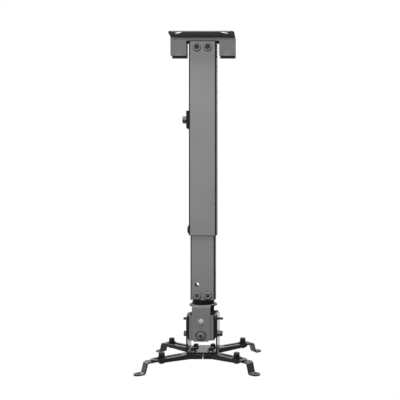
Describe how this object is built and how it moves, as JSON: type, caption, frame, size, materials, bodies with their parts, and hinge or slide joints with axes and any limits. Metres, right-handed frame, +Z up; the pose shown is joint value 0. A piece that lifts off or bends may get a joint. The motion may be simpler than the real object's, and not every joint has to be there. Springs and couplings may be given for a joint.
{
  "type": "projector ceiling mount",
  "caption": "Ceiling bracket with a telescopic rectangular column, a swivelling and tilting head and sliding feet on forked arm plates for a projector.",
  "frame": {"origin": "middle of the ceiling face, above the axis of the column", "axes": "+Z up to the ceiling, -Y towards the front lip of the ceiling plate, +X to the right seen from the front"},
  "size_m": [0.1718, 0.1355, 0.4789],
  "materials": {
    "grey_paint": "satin grey powder coat",
    "black_paint": "glossy black paint",
    "dark_steel": "black oxide",
    "satin_steel": "satin",
    "zinc_steel": "zinc plated",
    "black_plastic": "moulded matt"
  },
  "bodies": {
    "bracket": {"ceiling_plate": "grey_paint", "saddle": "grey_paint", "socket_bracket": "grey_paint", "socket_nuts": "zinc_steel", "outer_column": "grey_paint", "top_screws": "grey_paint", "guide_plug": "black_plastic"},
    "inner_stage": {"inner_column": "grey_paint", "glide_cap": "black_plastic", "clamp_pad": "black_plastic", "lock_bolt": "dark_steel", "lock_nut_plate": "zinc_steel", "connector": "grey_paint", "low_screws": "grey_paint", "swivel_bush": "zinc_steel", "swivel_spacer": "black_plastic", "swivel_bolt": "dark_steel"},
    "swivel_head": {"upper_yoke": "grey_paint", "roll_rivets": "satin_steel"},
    "roll_block": {"tilt_block": "grey_paint", "roll_lock_screws": "grey_paint", "roll_lock_washers": "grey_paint", "roll_lock_nuts": "zinc_steel", "pitch_pin": "dark_steel", "pitch_lock_bolts": "dark_steel", "pitch_lock_washers": "zinc_steel", "pitch_lock_nuts": "zinc_steel"},
    "cradle": {"lower_yoke": "black_paint", "arm_plate_left": "black_paint", "arm_plate_right": "black_paint", "base_screws": "dark_steel", "base_washers": "zinc_steel", "base_nuts": "zinc_steel"},
    "slider_front_left": {"foot_front_left": "black_paint", "foot_screw_front_left": "dark_steel", "foot_flat_washer_front_left": "zinc_steel", "foot_spring_washer_front_left": "zinc_steel", "foot_nut_front_left": "zinc_steel"},
    "slider_front_right": {"foot_front_right": "black_paint", "foot_screw_front_right": "dark_steel", "foot_flat_washer_front_right": "zinc_steel", "foot_spring_washer_front_right": "zinc_steel", "foot_nut_front_right": "zinc_steel"},
    "slider_rear_left": {"foot_rear_left": "black_paint", "foot_screw_rear_left": "dark_steel", "foot_flat_washer_rear_left": "zinc_steel", "foot_spring_washer_rear_left": "zinc_steel", "foot_nut_rear_left": "zinc_steel"},
    "slider_rear_right": {"foot_rear_right": "black_paint", "foot_screw_rear_right": "dark_steel", "foot_flat_washer_rear_right": "zinc_steel", "foot_spring_washer_rear_right": "zinc_steel", "foot_nut_rear_right": "zinc_steel"}
  },
  "joints": [
    {"name": "extension", "type": "slide", "parent": "bracket", "child": "inner_stage", "axis": [0, 0, 1], "range_m": [-0.108, 0.072]},
    {"name": "swivel", "type": "hinge", "parent": "inner_stage", "child": "swivel_head", "pos_m": [0, 0, -0.3924], "axis": [0, 0, 1], "continuous": true},
    {"name": "roll", "type": "hinge", "parent": "swivel_head", "child": "roll_block", "pos_m": [0, 0, -0.4145], "axis": [0, 1, 0], "range_deg": [-15, 15]},
    {"name": "pitch", "type": "hinge", "parent": "roll_block", "child": "cradle", "pos_m": [0, 0, -0.4145], "axis": [1, 0, 0], "range_deg": [-15, 15]},
    {"name": "slide_front_left", "type": "slide", "parent": "cradle", "child": "slider_front_left", "axis": [-0.8028, -0.5962, 0], "range_m": [-0.027, 0.0082]},
    {"name": "slide_front_right", "type": "slide", "parent": "cradle", "child": "slider_front_right", "axis": [0.8028, -0.5962, 0], "range_m": [-0.027, 0.0082]},
    {"name": "slide_rear_left", "type": "slide", "parent": "cradle", "child": "slider_rear_left", "axis": [-0.8028, 0.5962, 0], "range_m": [-0.0309, 0.0043]},
    {"name": "slide_rear_right", "type": "slide", "parent": "cradle", "child": "slider_rear_right", "axis": [0.8028, 0.5962, 0], "range_m": [-0.0309, 0.0043]}
  ]
}
